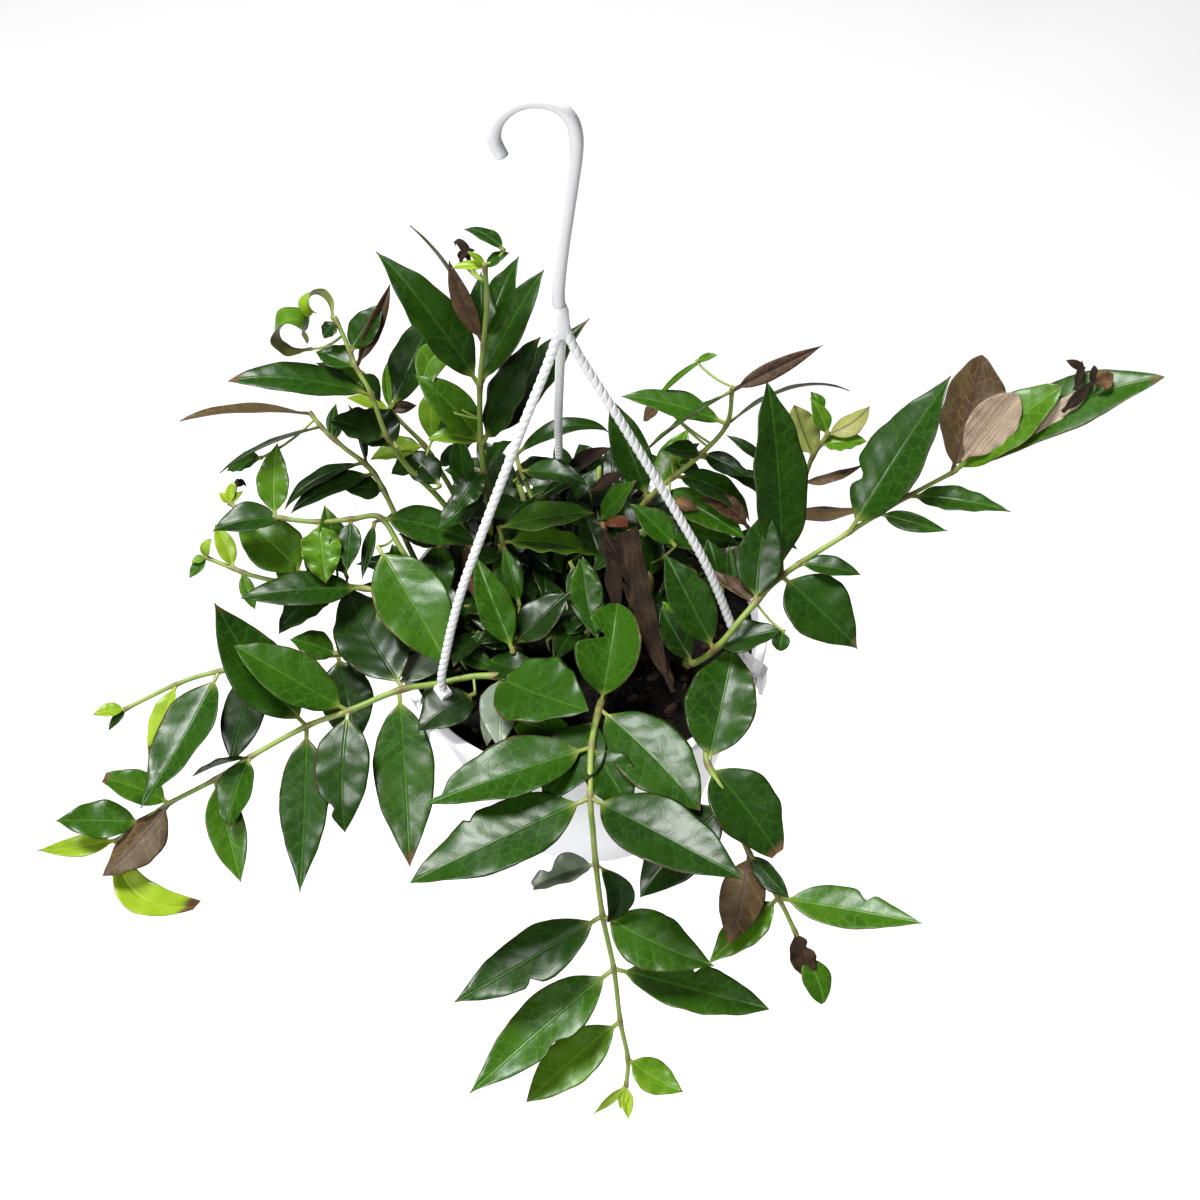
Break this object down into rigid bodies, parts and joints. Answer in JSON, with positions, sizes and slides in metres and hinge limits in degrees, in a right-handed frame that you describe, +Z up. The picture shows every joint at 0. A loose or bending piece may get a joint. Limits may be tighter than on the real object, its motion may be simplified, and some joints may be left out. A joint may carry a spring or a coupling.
{
  "type": "hanging potted black pagoda lipstick plant",
  "caption": "Trailing black pagoda lipstick plant in a round white plastic hanging pot, held up by a cord hanger with a hook.",
  "frame": {"origin": "inner crown of the hook at the top of the hanger, where the pot hangs", "axes": "+Z up along the pot's axis, -Y towards the side seen at the front of the picture, +X to its right"},
  "size_m": [0.4913, 0.3033, 0.4027],
  "materials": {
    "pot_plastic": "smooth satin white plastic, slightly translucent",
    "hanger_plastic": "smooth glossy white plastic",
    "hanger_cord": "white twisted cord with a fine spiral",
    "potting_mix": "moist dark crumbly peat and bark",
    "foliage": "waxy green leaves with a pale net of veins, and maroon brown undersides",
    "dry_foliage": "dull brown withered leaf"
  },
  "bodies": {
    "root": {"pot": "pot_plastic", "potting_mix": "potting_mix", "hanger_hook": "hanger_plastic", "rim_clip_1": "hanger_plastic", "rim_clip_2": "hanger_plastic", "rim_clip_3": "hanger_plastic", "hanger_cord_1": "hanger_cord", "hanger_cord_2": "hanger_cord", "hanger_cord_3": "hanger_cord", "stem_left_front": "foliage", "stem_left_thin": "foliage", "stem_front_centre": "foliage", "stem_front_right": "foliage", "stem_right_long": "foliage", "stem_back_right": "foliage", "stem_right_low": "foliage", "stem_upright": "foliage", "stem_left_upper": "foliage", "stem_left_short": "foliage", "stem_left_twisted": "foliage", "stem_left_middle": "foliage", "stem_left_lower": "foliage", "stem_centre_front": "foliage", "stem_centre_left": "foliage", "stem_centre_back": "foliage", "stem_centre_right": "foliage", "stem_centre_mid": "foliage", "stem_centre_low": "foliage", "stem_back_left": "foliage", "stem_back_centre": "foliage", "dry_shoot": "dry_foliage"}
  },
  "joints": []
}
